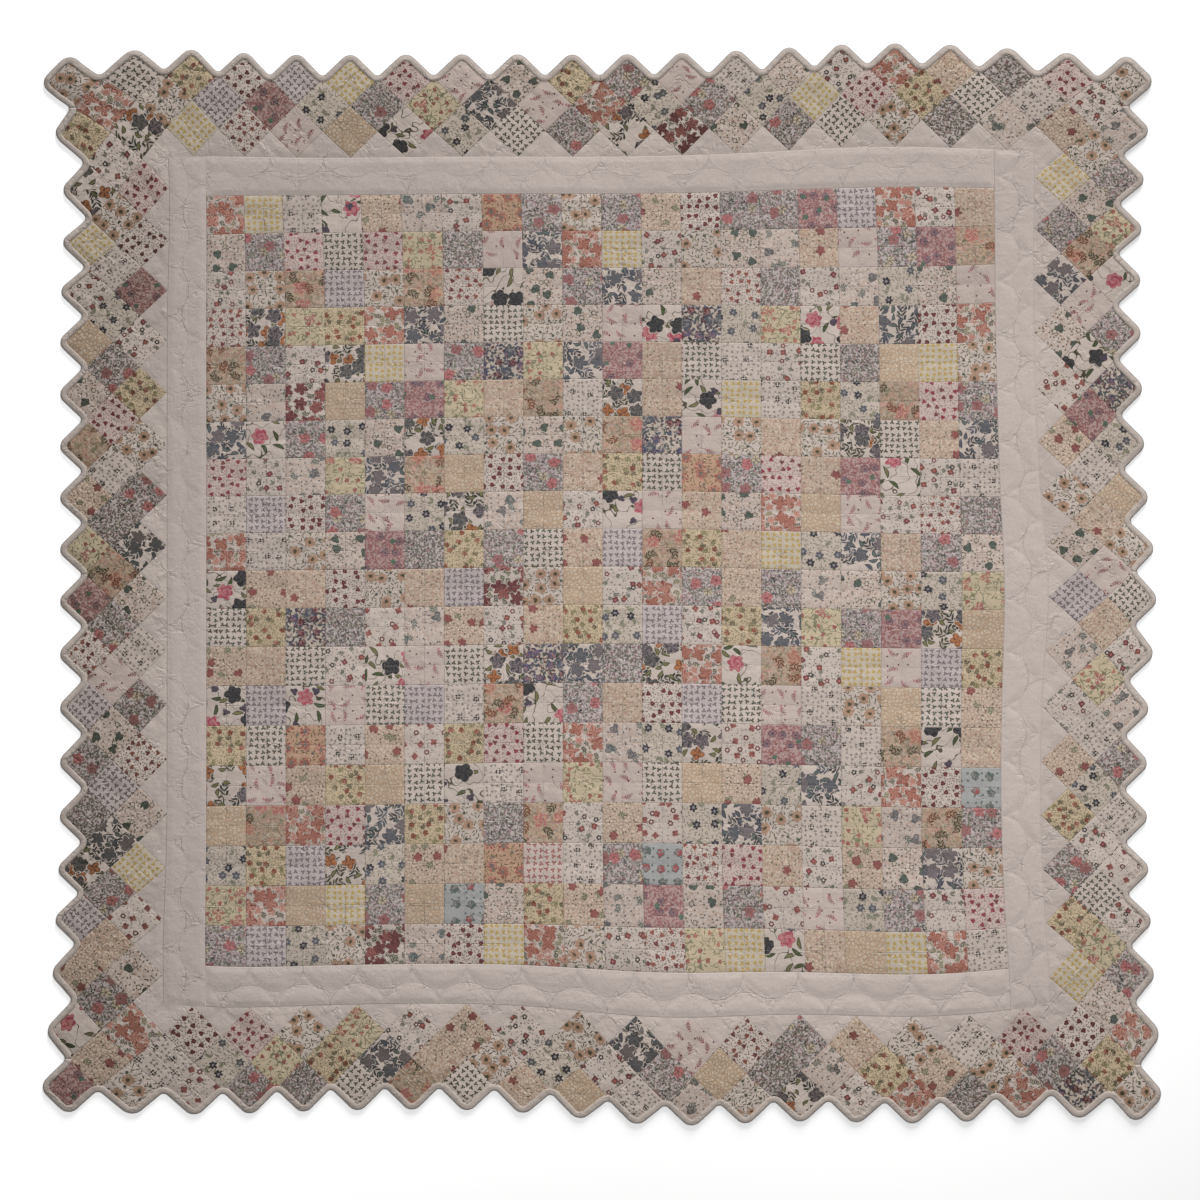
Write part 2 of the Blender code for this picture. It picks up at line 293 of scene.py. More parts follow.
class Recipe:
    def __init__(self, name):
        self.material = bpy.data.materials.new(name)
        self.material.use_nodes = True
        self.tree = self.material.node_tree
        self.shader = self.tree.nodes["Principled BSDF"]

    def pick(self, sockets, key):
        if isinstance(key, int):
            return sockets[key]
        return next(socket for socket in sockets if socket.name == key and socket.enabled)

    def fill(self, node, inputs):
        # A wire is linked to its socket, and a plain value is set on it.
        for key, value in inputs.items():
            socket = self.pick(node.inputs, key)
            if isinstance(value, Wire):
                self.tree.links.new(value.socket, socket)
            else:
                socket.default_value = value

    def add(self, kind, settings, inputs):
        node = self.tree.nodes.new(kind)
        for key, value in settings.items():
            if key == "stops":
                self.setStops(node.color_ramp, value)
            else:
                setattr(node, key, value)
        self.fill(node, inputs)
        return {socket.name: Wire(self, socket) for socket in node.outputs if socket.enabled}

    def setStops(self, ramp, stops):
        while len(ramp.elements) < len(stops):
            ramp.elements.new(1)
        for element, (position, colour) in zip(ramp.elements, stops):
            element.position = position
            element.color = colour

    def sum(self, operation, *values):
        return self.add("ShaderNodeMath", {"operation": operation}, dict(enumerate(values)))["Value"]

    def mix(self, share, under, over, blend="MIX"):
        inputs = {"Factor": share, "A": under, "B": over}
        return self.add("ShaderNodeMix", {"data_type": "RGBA", "blend_type": blend}, inputs)["Result"]

    def smooth(self, value, low, high):
        inputs = {"Value": value, "From Min": low, "From Max": high}
        return self.add("ShaderNodeMapRange", {"interpolation_type": "SMOOTHSTEP"}, inputs)["Result"]

    def vector(self, operation, inputs):
        return self.add("ShaderNodeVectorMath", {"operation": operation}, inputs)["Vector"]

    def parts(self, vector):
        return self.add("ShaderNodeSeparateXYZ", {}, {"Vector": vector})

    def noiseAt(self, place, pitch, detail=2.0, roughness=0.5):
        inputs = {"Vector": place, "Scale": 1 / pitch, "Detail": detail, "Roughness": roughness}
        return self.add("ShaderNodeTexNoise", {"noise_dimensions": "2D"}, inputs)["Fac"]

    def ramp(self, share, names, last):
        stops = [(index / last, dye(name)) for index, name in enumerate(names)]
        return self.add("ShaderNodeValToRGB", {"stops": stops}, {0: share})["Color"]

    def bump(self, height, strength, distance):
        inputs = {"Strength": strength, "Distance": distance, "Height": height}
        return self.add("ShaderNodeBump", {}, inputs)["Normal"]

    def attribute(self, name):
        return self.add("ShaderNodeAttribute", {"attribute_name": name}, {})["Fac"]

    def spot(self):
        # Places on the finished quilt, in metres.
        return self.add("ShaderNodeTexCoord", {}, {})["Object"]

    def patch(self):
        # Places on one patch, strip or binding, across it and up it.
        return self.parts(self.add("ShaderNodeUVMap", {"uv_map": "patch"}, {})["UV"])

    def cloth(self, seed=0.0):
        # Places on the printed cloth in millimetres, moved on by the seed.
        found = self.add("ShaderNodeUVMap", {"uv_map": "cloth"}, {})["UV"]
        shift = (seed * 137.0, seed * 71.0, 0)
        return self.vector("MULTIPLY_ADD", {0: found, 1: (1000, 1000, 0), 2: shift})

    def scatter(self, pitch, seed, jitter=0.75, warp=0.0):
        # The way from the nearest of many scattered middles, turned at random, with random numbers.
        place = self.cloth(seed)
        if warp:
            inputs = {"Vector": place, "Scale": 3.6 / pitch, "Detail": 1.5}
            drift = self.add("ShaderNodeTexNoise", {"noise_dimensions": "2D"}, inputs)["Color"]
            place = self.vector("MULTIPLY_ADD", {0: drift, 1: (warp, warp, 0), 2: place})
        inputs = {"Vector": place, "Scale": 1 / pitch, "Randomness": jitter}
        cells = self.add("ShaderNodeTexVoronoi", {"voronoi_dimensions": "2D"}, inputs)
        away = self.vector("SUBTRACT", {0: place, 1: cells["Position"]})
        dice = self.add("ShaderNodeSeparateColor", {}, {"Color": cells["Color"]})
        inputs = {"Vector": away, "Angle": dice["Blue"] * 6.283}
        facing = self.add("ShaderNodeVectorRotate", {"rotation_type": "Z_AXIS"}, inputs)["Vector"]
        x, y, _ = self.parts(facing).values()
        return Motif(x, y, (x * x + y * y) ** 0.5, y.maths("ARCTAN2", x), dice["Red"], dice["Green"])


# Dyes as they look in soft light, 0 to 255, and the light's own strength, which is taken out again.
lightLevel = 1.2
dyes = {
    "white": (191, 177, 168),
    "cream": (186, 172, 160),
    "creamWhite": (190, 177, 160),
    "pinkWhite": (189, 173, 165),
    "paleCream": (192, 175, 158),
    "blush": (190, 170, 164),
    "paleYellow": (188, 172, 146),
    "golden": (191, 171, 142),
    "iceBlue": (158, 158, 157),
    "lilacWhite": (182, 170, 168),
    "apricot": (184, 149, 126),
    "plain": (190, 177, 170),
    "edging": (182, 170, 161),
    "net": (172, 140, 123),
    "tanNet": (174, 142, 114),
    "coral": (170, 114, 100),
    "salmon": (185, 135, 121),
    "brick": (142, 82, 70),
    "mustard": (182, 154, 84),
    "olive": (72, 68, 48),
    "moss": (116, 112, 72),
    "leaf": (68, 80, 40),
    "darkGreen": (44, 52, 42),
    "greyGreen": (74, 84, 74),
    "sage": (112, 116, 92),
    "lilacGrey": (118, 106, 112),
    "charcoal": (60, 60, 64),
    "navy": (38, 40, 56),
    "slate": (84, 88, 100),
    "smoke": (104, 100, 100),
    "teal": (92, 104, 100),
    "seaGreen": (84, 110, 94),
    "crimson": (140, 54, 66),
    "darkRed": (96, 30, 36),
    "wine": (120, 64, 66),
    "maroon": (92, 46, 50),
    "pink": (182, 116, 120),
    "rose": (174, 106, 106),
    "duskyRose": (154, 92, 88),
    "deepRose": (158, 78, 84),
    "deepPink": (168, 70, 92),
    "black": (30, 28, 32),
    "tan": (168, 133, 107),
    "orange": (168, 108, 66),
    "rust": (116, 66, 44),
    "purple": (84, 68, 90),
    "violet": (82, 82, 112),
    "mauve": (150, 110, 112),
    "ash": (140, 132, 130),
    "stone": (118, 110, 104),
    "thread": (196, 184, 174),
}


def dye(name):
    linear = []
    for value in dyes[name]:
        share = value / 255
        straight = share / 12.92 if share < 0.04045 else ((share + 0.055) / 1.055) ** 2.4
        linear.append(straight / lightLevel)
    return (*linear, 1)


# Printed motifs. Sizes are in millimetres, and amount is the share of places that carry one.
def printed(draw):
    # A motif is described in the table of cottons, and drawn later over what lies under it.
    def describe(*sizes, **looks):
        return lambda recipe, under, seed: draw(recipe, under, seed, *sizes, **looks)

    return describe


def present(recipe, motif, amount):
    return recipe.smooth(motif.first, amount + 0.001, amount - 0.001)


def eitherDye(recipe, motif, colour, second):
    if not second:
        return dye(colour)
    return recipe.mix(recipe.smooth(motif.second, 0.48, 0.52), dye(colour), dye(second))


@printed
def flowers(recipe, under, seed, pitch, size, petals, depth, colour, second=None, shade=None, rim=None,
            halo=None, eye=None, amount=1.0, jitter=0.7, soft=0.4, warp=0.0):
    # Round blooms whose petals are parted to a depth: halo, petals, shade, rim and eye, from the ground up.
    # The shade has a dye, folds and turns, which make one whorl or as many streaks from the middle.
    # The eye has a dye and its share of the size.
    motif = recipe.scatter(pitch, seed, jitter, warp)
    lobes = abs((motif.angle * (petals / 2)).maths("COSINE"))
    inside = size * (1 - depth * (1 - lobes)) - motif.far
    here = present(recipe, motif, amount)
    if halo:
        under = recipe.mix(recipe.smooth(inside, -2.0, -1.2) * here, under, dye(halo))
    tint = eitherDye(recipe, motif, colour, second)
    if shade:
        shadeDye, folds, turns = shade
        wander = recipe.noiseAt(recipe.cloth(seed), size * 0.5, 1.0)
        wave = motif.far * (folds * 6.283 / size) + motif.angle * turns + wander * 6
        tint = recipe.mix(recipe.smooth(wave.maths("SINE"), 0.0, 0.8), tint, dye(shadeDye))
    if rim:
        tint = recipe.mix(recipe.smooth(inside, 1.5, 0.7), tint, dye(rim))
    if eye:
        reach = size * eye[1]
        tint = recipe.mix(recipe.smooth(motif.far, reach + soft, reach - soft), tint, dye(eye[0]))
    return recipe.mix(recipe.smooth(inside, -soft, soft) * here, under, tint)


def bladeInside(motif, length, width, curve):
    # How far a place is inside a curved blade, and how far along it lies, from -1 to 1.
    along = motif.x / (length / 2)
    bow = motif.y + along * along * (width * curve)
    return (1 - along * along) * (width / 2) - abs(bow), along, bow


@printed
def leaves(recipe, under, seed, pitch, length, width, colour, second=None, rim=None, amount=1.0, jitter=1.0,
           soft=0.3):
    motif = recipe.scatter(pitch, seed, jitter)
    inside, _, _ = bladeInside(motif, length, width, 0.35)
    tint = eitherDye(recipe, motif, colour, second)
    if rim:
        tint = recipe.mix(recipe.smooth(inside, width * 0.22, width * 0.12), tint, dye(rim))
    mask = recipe.smooth(inside, -soft * 0.5, soft * 0.5) * present(recipe, motif, amount)
    return recipe.mix(mask, under, tint)


@printed
def sprays(recipe, under, seed, pitch, length, leaf, colour, second=None, amount=1.0):
    # A bent stem with slanting leaves on both sides.
    motif = recipe.scatter(pitch, seed, 0.9)
    side = abs(motif.y + motif.x * motif.x / length)
    step = leaf * 0.8
    gap = abs(((motif.x - side) / step).maths("FRACT") - 0.5) * step
    blade = side * (leaf - side) * (1.3 / leaf)
    mask = recipe.smooth(blade - gap, -0.15, 0.2).maths("MAXIMUM", recipe.smooth(side, 0.6, 0.3))
    mask = mask * recipe.smooth(abs(motif.x), length / 2, length / 2 - 0.6)
    return recipe.mix(mask * present(recipe, motif, amount), under, eitherDye(recipe, motif, colour, second))


@printed
def feathers(recipe, under, seed, pitch, length, width, colour, tip):
    # A soft plume, darker and closer drawn toward one end.
    motif = recipe.scatter(pitch, seed, 0.6)
    inside, along, bow = bladeInside(motif, length, width, 0.4)
    comb = (motif.x * 1.3 + abs(bow) * 1.1).maths("SINE")
    tint = recipe.mix(recipe.smooth(along, 0.0, 0.8), dye(colour), dye(tip))
    mask = recipe.smooth(inside + comb * 1.6, -0.2, 1.4) * (recipe.smooth(comb, -0.8, 0.4) * 0.5 + 0.5)
    return recipe.mix(mask * present(recipe, motif, 0.85), under, tint)


@printed
def clusters(recipe, under, seed, pitch, size, dot, colour):
    # Several round dots close together.
    motif = recipe.scatter(pitch, seed, 0.5)
    dots = recipe.scatter(dot * 2.5, seed + 0.5, 0.35)
    mask = recipe.smooth(dots.far, dot + 0.3, dot - 0.3) * recipe.smooth(motif.far, size + 0.3, size - 0.3)
    return recipe.mix(mask, under, dye(colour))


@printed
def vines(recipe, under, seed, pitch, width, colour, strength=1.0):
    # Thin wandering lines.
    value = recipe.noiseAt(recipe.cloth(seed), pitch, 1.0)
    mask = recipe.smooth(abs(value - 0.5) * pitch, width, width * 0.4)
    return recipe.mix(mask * strength, under, dye(colour))


@printed
def pebbles(recipe, under, seed, pitch, gap, colour, strength):
    # A net of lines round small rounded places.
    inputs = {"Vector": recipe.cloth(seed), "Scale": 1 / pitch}
    kind = {"voronoi_dimensions": "2D", "feature": "DISTANCE_TO_EDGE"}
    cells = recipe.add("ShaderNodeTexVoronoi", kind, inputs)
    mask = recipe.smooth(cells["Distance"] * pitch, gap + 0.4, gap - 0.4)
    return recipe.mix(mask * strength, under, dye(colour))


@printed
def mosaic(recipe, under, seed, pitch, colours, strength=1.0):
    # Small crowded strokes of several colours, each with a pale side in the last one.
    motif = recipe.scatter(pitch, seed, 1.0, warp=pitch * 0.8)
    tint = recipe.ramp(motif.second, colours, len(colours))
    tint = recipe.mix(recipe.smooth(motif.y, pitch * 0.12, pitch * 0.2), tint, dye(colours[-1]))
    return recipe.mix(strength, under, tint)


@printed
def wash(recipe, under, seed, pitch, colours):
    # Broad painterly areas that run into each other, over the whole cloth.
    value = recipe.smooth(recipe.noiseAt(recipe.cloth(seed), pitch, 2.5, 0.6), 0.3, 0.7)
    return recipe.ramp(value, colours, len(colours) - 1)


# Each printed cotton: its letter on the cloth chart, its ground and its layers, the lowest first.
# A motif has its spacing first, then its sizes, petals and their depth, or dots, and then its dyes.
cottons = {
    "S": ("coralBlooms", "white",
        sprays(14, 14, 5, "olive", "moss"),
        flowers(23, 9, 5, 0.6, "salmon", shade=("coral", 0.5, 5), halo="white", amount=0.85, warp=5),
        flowers(32, 15, 4, 0.5, "salmon", "coral", shade=("brick", 0.8, 8), rim="brick", halo="white",
                warp=8)),
    "Y": ("mustardTrefoils", "creamWhite",
        flowers(11.5, 4.3, 3, 0.7, "mustard", jitter=0.3)),
    "g": ("greenTrefoils", "white",
        flowers(11.6, 4.5, 3, 0.85, "olive", "greyGreen", jitter=0.3)),
    "l": ("lilacTrefoils", "lilacWhite",
        flowers(11.4, 4.5, 3, 0.88, "lilacGrey", jitter=0.3)),
    "k": ("pinkTrefoils", "pinkWhite",
        flowers(12, 4.6, 3, 0.88, "duskyRose", jitter=0.3)),
    "N": ("navyClusters", "white",
        flowers(9.6, 2.9, 3, 0.85, "stone", "ash", jitter=0.6),
        clusters(34, 5.8, 1.9, "black")),
    "F": ("pinkFeathers", "pinkWhite",
        feathers(30, 23, 8, "mauve", "deepPink"),
        flowers(22, 1.7, 1, 0, "darkRed", amount=0.6)),
    "G": ("gardenBlooms", "white",
        vines(38, 0.5, "olive"),
        leaves(24, 27, 8, "leaf", "moss", rim="darkGreen", amount=0.5, jitter=0.9),
        flowers(50, 17, 6, 0.3, "pink", shade=("deepPink", 1.5, 2), rim="deepPink", halo="white",
                amount=0.36, warp=6),
        flowers(56, 18, 5, 0.25, "charcoal", shade=("black", 1.2, 6), rim="black", halo="white", amount=0.4,
                warp=7),
        flowers(45, 8, 3, 0.4, "purple", shade=("charcoal", 1, 1), amount=0.3, warp=7)),
    "V": ("roseVermicelli", "paleCream",
        vines(7, 0.85, "net", 0.8),
        leaves(11, 5.2, 2.8, "moss", "stone", amount=0.55),
        flowers(54, 9.5, 5, 0.4, "duskyRose", shade=("wine", 0.6, 6), rim="wine", amount=0.5, warp=6)),
    "a": ("peachRings", "paleCream",
        pebbles(7.2, 0.95, "net", 0.8),
        leaves(10, 4.4, 2.6, "stone", "olive", amount=0.8),
        sprays(38, 14, 6, "sage", amount=0.6),
        flowers(44, 9, 5, 0.3, "duskyRose", shade=("wine", 0.6, 6), rim="wine", amount=0.7, warp=6)),
    "c": ("tanPebbles", "creamWhite",
        vines(7, 0.8, "tanNet", 0.5),
        pebbles(7.6, 1.1, "tanNet", 0.8)),
    "U": ("tealVermicelli", "white",
        vines(8, 0.7, "net", 0.5),
        leaves(11, 5, 2.7, "slate", "stone", amount=0.7),
        sprays(36, 16, 6, "teal", amount=0.6),
        flowers(44, 10, 3, 0.4, "teal", "smoke", shade=("ash", 1, 1), rim="slate", amount=0.7, warp=8)),
    "W": ("wreathVermicelli", "white",
        vines(8, 0.7, "net", 0.55),
        leaves(8, 5, 2.7, "greyGreen", "stone", amount=0.75),
        flowers(28, 5.5, 6, 0.4, "olive", eye=("cream", 0.6), amount=0.6),
        flowers(42, 9, 3, 0.3, "greyGreen", shade=("teal", 0.8, 3), rim="darkGreen", amount=0.8, warp=7)),
    "D": ("ringFlowers", "white",
        leaves(7.4, 3.8, 2, "greyGreen", "stone", amount=0.85),
        sprays(24, 9, 4, "greyGreen", amount=0.7),
        flowers(34, 5.2, 5, 0.3, "black", "wine", eye=("white", 0.4), amount=0.7),
        flowers(31, 6.2, 4, 0.3, "wine", "brick", rim="darkRed", eye=("rose", 0.3), amount=0.7, warp=3)),
    "e": ("redRings", "white",
        leaves(9, 3.8, 1.9, "sage", "stone", amount=0.85),
        flowers(31, 5.4, 6, 0.25, "darkRed", eye=("white", 0.45), amount=0.7),
        flowers(31, 6.6, 4, 0.3, "duskyRose", shade=("wine", 0.6, 1), rim="brick", amount=0.75, warp=3)),
    "r": ("redSpeckle", "white",
        leaves(4.9, 2.9, 2.1, "greyGreen", "wine", amount=0.9, soft=0.6),
        flowers(18, 4.8, 3, 0.4, "wine", "brick", jitter=0.6)),
    "d": ("redPosies", "white",
        leaves(5, 2.8, 2.1, "darkRed", "greyGreen", amount=0.9, soft=0.6),
        flowers(19, 4.9, 3, 0.3, "darkRed", eye=("wine", 0.35), jitter=0.6)),
    "R": ("crimsonHearts", "blush",
        leaves(5, 2.7, 1.9, "crimson", "sage", amount=0.8, soft=0.6),
        flowers(17.5, 4.7, 3, 0.4, "crimson", "wine", jitter=0.6)),
    "y": ("goldenMeadow", "golden",
        leaves(4.9, 5.4, 1.5, "sage", "stone", amount=0.9),
        sprays(19, 11, 4.4, "olive", "moss", amount=0.8),
        flowers(25, 5.6, 5, 0.35, "brick", "coral", shade=("rust", 0.8, 1), amount=0.9, warp=4)),
    "v": ("yellowVines", "paleYellow",
        vines(26, 0.6, "sage", 0.8),
        leaves(9.5, 9, 1.9, "sage", "moss", amount=0.8),
        flowers(20, 4.4, 3, 0.3, "duskyRose", "coral", amount=0.7, warp=4),
        flowers(46, 12, 3, 0.6, "rose", "coral", shade=("paleYellow", 0.6, 5), rim="duskyRose", amount=0.55,
                warp=9)),
    "T": ("tanDaisies", "white",
        leaves(7.2, 8.6, 2, "olive", "moss"),
        flowers(22, 3, 5, 0.2, "greyGreen", amount=0.7),
        flowers(31, 11.5, 8, 0.3, "tan", shade=("net", 0.4, 9), rim="net", eye=("olive", 0.32), amount=0.85,
                soft=1.2, warp=6)),
    "x": ("maroonPetals", "white",
        sprays(15, 15, 5.4, "darkGreen", "leaf"),
        flowers(28, 14.5, 5, 0.45, "duskyRose", "wine", shade=("maroon", 0.8, 8), rim="maroon", halo="white",
                warp=8)),
    "B": ("navyFoliage", "white",
        sprays(26, 24, 10, "charcoal", "slate"),
        leaves(17, 20, 8, "slate", "teal", rim="navy", amount=0.7),
        flowers(35, 15.5, 5, 0.4, "slate", "lilacGrey", shade=("smoke", 0.9, 8), rim="navy", halo="white",
                amount=0.75, warp=10)),
    "o": ("smokyBlooms", "white",
        sprays(26, 24, 10, "darkGreen", "olive", amount=0.8),
        leaves(21, 18, 8, "moss", rim="darkGreen", amount=0.6),
        flowers(40, 13.5, 4, 0.4, "orange", shade=("rust", 0.4, 4), rim="rust", halo="white", amount=0.5,
                warp=5),
        flowers(40, 16, 5, 0.3, "lilacGrey", "smoke", shade=("charcoal", 1.2, 5), rim="black", halo="white",
                amount=0.6, warp=8)),
    "K": ("greyMottle", "ash",
        mosaic(4.4, ("charcoal", "stone", "smoke", "mauve", "sage", "lilacWhite")),
        leaves(5, 6, 1.6, "greyGreen", "stone", amount=0.6)),
    "M": ("greyRoses", "ash",
        mosaic(4.4, ("charcoal", "stone", "sage", "ash", "mauve", "lilacWhite")),
        leaves(5.5, 6, 1.5, "charcoal", "ash", amount=0.6),
        flowers(46, 9, 5, 0.3, "paleYellow", shade=("stone", 0.6, 5), eye=("stone", 0.25), amount=0.5,
                warp=4),
        flowers(42, 11.5, 5, 0.25, "pink", "mauve", shade=("duskyRose", 0.8, 5), eye=("wine", 0.15),
                amount=0.65, soft=1.2, warp=8)),
    "m": ("roseAndPlum", "mauve",
        mosaic(4.4, ("wine", "rose", "mauve", "duskyRose", "brick", "blush"), 0.6),
        flowers(29, 8, 5, 0.2, "mauve", shade=("lilacGrey", 0.8, 1), rim="purple", eye=("purple", 0.25),
                amount=0.75, soft=0.7, warp=5),
        flowers(40, 5.6, 4, 0.3, "seaGreen", amount=0.7, soft=1.1, warp=4)),
    "p": ("violetMottle", "lilacWhite",
        mosaic(5.6, ("navy", "violet", "greyGreen", "slate", "maroon", "cream")),
        flowers(24, 9, 5, 0.4, "maroon", "violet", shade=("mauve", 1, 1), rim="navy", amount=0.7, soft=0.7,
                warp=7),
        flowers(50, 13, 5, 0.4, "slate", shade=("ash", 1.2, 1), rim="navy", amount=0.5, warp=9)),
    "t": ("tapestry", "apricot",
        wash(15, ("sage", "apricot", "net", "golden", "teal", "apricot", "salmon")),
        mosaic(6, ("olive", "net", "sage", "apricot", "tan", "cream"), 0.4),
        flowers(44, 15, 5, 0.3, "coral", "rose", shade=("apricot", 1.2, 4), amount=0.5, soft=2.4, warp=10),
        sprays(32, 24, 8, "olive", "rust", amount=0.6)),
    "P": ("apricotFlowers", "apricot",
        leaves(8, 7.6, 2, "olive", "moss"),
        flowers(33, 11.5, 5, 0.35, "coral", "salmon", shade=("brick", 0.6, 6), eye=("stone", 0.34), soft=1.2,
                warp=7),
        flowers(30, 3.4, 5, 0.3, "stone", amount=0.6)),
    "n": ("navyDaisies", "cream",
        leaves(7.4, 6.6, 1.6, "sage", "stone"),
        sprays(30, 14, 4, "sage", amount=0.7),
        flowers(34, 8.2, 6, 0.4, "navy", "slate", eye=("ash", 0.32), warp=4)),
    "b": ("iceBlueLattice", "iceBlue",
        flowers(14, 2.2, 4, 0.2, "teal", amount=0.8, jitter=0.3),
        flowers(30, 8.4, 5, 0.25, "teal", "deepRose", shade=("ash", 0.5, 1), rim="greyGreen", jitter=0.3,
                warp=5)),
}


# One letter a patch, as the quilt is pieced, row by row from the top left.
clothChart = (
    "SYNGaUDPMTMadMMmlSDV",
    "WMRgRvKFBSYDTWUVFMmt",
    "DTtlTtrGWMBWVrKDUnWF",
    "rovySBWgTWFGpnvGVBdS",
    "tMDoYFMpvBmVgNDgKcYT",
    "TUxcMmvVtNoVGYNyntRM",
    "BGMnWonTWTtpFTVTogVB",
    "RDUvBtcdMVygPMRVmGDN",
    "NldMFnoUcDGFVWScFDrK",
    "SNTWmKyMgVltyVYnBVMW",
    "GaVdTVlxTcDSMaMUWTnv",
    "gypKeUaDVynlDyBvMmoc",
    "aVgDGFgopBKoSGtDYFly",
    "GlGFglNtGMVdlgFNTcga",
    "ygPNaeyRgSUnoemMNtGV",
    "oFaycgGNFvFgcanBDSdb",
    "ctSRByTKtDaenBTNvUtM",
    "nylonaVPkNMbrRVDaWBT",
    "vScYMcbWyaUmWMeFnMDR",
    "MlnTxUdYSTDrvYGVcYSN",
)
# The border's printed squares: the outer, middle and inner row of each side, from the left or the top.
borderChart = {
    "top": ("TgydlYRFWyMFNWDSVKRT", "STlmnMvBFSnMnYRygND", "oYrFcGngMoxWMgTKUa"),
    "bottom": ("mTeMKgtgVcNUToDSKSpT", "aNnvyBVTnDMcKUyaTMy", "SdRTvDaDTBFrMVTNRd"),
    "left": ("yoYDcWtavmrlMKolaG", "DTNnMRNKtMFWlBMVM", "RdmDyTMBWNMrWYeW"),
    "right": ("UMvGMpncTgDUMNeDMS", "TWtFGmNVFVvNnDgvW", "YMBWeaTWlUDayMyY"),
}


# What every cloth of the quilt has: seams, quilted lines, stitches, a weave and soft creases.
# Lengths are in millimetres, but the creases are spaced in metres.
finish = {
    "stitch": 5.0,
    "stitchWidth": 0.6,
    "threadShows": 0.35,
    "grooveWidth": 1.4,
    "grooveShade": 0.10,
    "seamWidth": 1.5,
    "seamShade": 0.13,
    "weaveTurn": 7.0,
    "weaveHeight": 0.045,
    "creasePitch": 0.014,
    "creases": 1.2,
    "stripCreases": 0.85,
    "gathers": 1.6,  # how much more the cloth creases next to a quilted line
    "gatherReach": 12.0,
    "fade": 0.06,  # how far the prints have washed out
    "fadePitch": 5.0,
    "palest": 2.5,  # a pale ground's lightness times this is 1
    "roughness": 0.92,
    "specular": 0.25,
    "sheen": 0.15,
    "sheenRoughness": 0.6,
}


def clothFinish(recipe, colour, line, along, seam, creased=finish["creases"], shown=1.0):
    # line and seam are distances from the quilted line and the seam.
    spot = recipe.spot()
    here = recipe.smooth(recipe.noiseAt(spot, 0.055), 0.40, 0.62)  # where the quilting pulls in most
    groove = recipe.smooth(line, finish["grooveWidth"], 0.2) * (here * 0.75 + 0.25) * shown
    pressed = recipe.smooth(seam, finish["seamWidth"], 0.1) * shown

    # Each face's share darkens its darker dyes: deeper dye everywhere, and on the border painted shade as
    # well, most on the left and top.
    pale = recipe.add("ShaderNodeRGBToBW", {}, {"Color": colour})["Val"] * finish["palest"]
    dyeAndShadeFactor = 1 - recipe.attribute("deep") * (1 - pale.maths("MINIMUM", 1.0))
    age = recipe.noiseAt(spot, 0.31, 3.0)
    slub = recipe.noiseAt(spot, 0.0042)
    light = 0.86 + age * 0.14 + slub * 0.10 + recipe.attribute("tint")
    light = light * (1 - groove * finish["grooveShade"]) * (1 - pressed * finish["seamShade"]) * dyeAndShadeFactor
    inputs = {"Red": light, "Green": light * dyeAndShadeFactor ** 0.1, "Blue": light * dyeAndShadeFactor ** 0.4}  # darker dyes and the painted shade on the border turn warm
    shade = recipe.add("ShaderNodeCombineColor", {}, inputs)["Color"]
    colour = recipe.mix(1.0, colour, shade, "MULTIPLY")
    dash = recipe.smooth(abs((along / finish["stitch"]).maths("FRACT") - 0.5), 0.28, 0.22)
    thread = recipe.smooth(line, finish["stitchWidth"], finish["stitchWidth"] * 0.6) * dash
    colour = recipe.mix(thread * here * finish["threadShows"], colour, dye("thread"))

    threads = recipe.parts(recipe.cloth())
    warp = (threads["X"] * finish["weaveTurn"]).maths("SINE")
    weft = (threads["Y"] * finish["weaveTurn"]).maths("SINE")
    crease = recipe.noiseAt(spot, finish["creasePitch"], 3.0, 0.55)
    ridge = recipe.smooth(abs(recipe.noiseAt(spot, 0.045, 2.5, 0.6) - 0.5), 0.04, 0.0) * here
    gathers = recipe.smooth(line, finish["gatherReach"], 0.0) * here * finish["gathers"]
    height = (crease - ridge * 0.35) * creased * (1 + gathers)
    height = height - groove * 0.8 - pressed * 0.6 + thread * 0.35 + warp * weft * finish["weaveHeight"]
    recipe.fill(recipe.shader, {
        "Base Color": colour,
        "Normal": recipe.bump(height, 1.0, 0.001),
        "Roughness": finish["roughness"],
        "Specular IOR Level": finish["specular"],
        "Sheen Weight": finish["sheen"],
        "Sheen Roughness": finish["sheenRoughness"],
    })
    return recipe.material


def patchLines(recipe):
    # Distances on a patch, in millimetres: to its quilted lines, along them, and to its seams.
    part = recipe.patch()
    width = plan["patchWidth"] * 1000
    right = abs(part["X"]) * width
    up = abs(part["Y"]) * width
    along = right.maths("MAXIMUM", up)
    return right.maths("MINIMUM", up), along, width / 2 - along


def printedCotton(name, ground, *layers):
    recipe = Recipe(name)
    colour = dye(ground)
    for seed, layer in enumerate(layers, 1):
        colour = layer(recipe, colour, seed)
    faded = recipe.smooth(recipe.noiseAt(recipe.cloth(), finish["fadePitch"]), 0.25, 0.75) * finish["fade"]
    return clothFinish(recipe, recipe.mix(faded, colour, dye(ground)), *patchLines(recipe))


cottonList = {letter: printedCotton(*made) for letter, made in cottons.items()}
print("printed cottons:", len(cottonList))


def plainCotton(name, colour):
    recipe = Recipe(name)
    return clothFinish(recipe, dye(colour), *patchLines(recipe), shown=0.5)


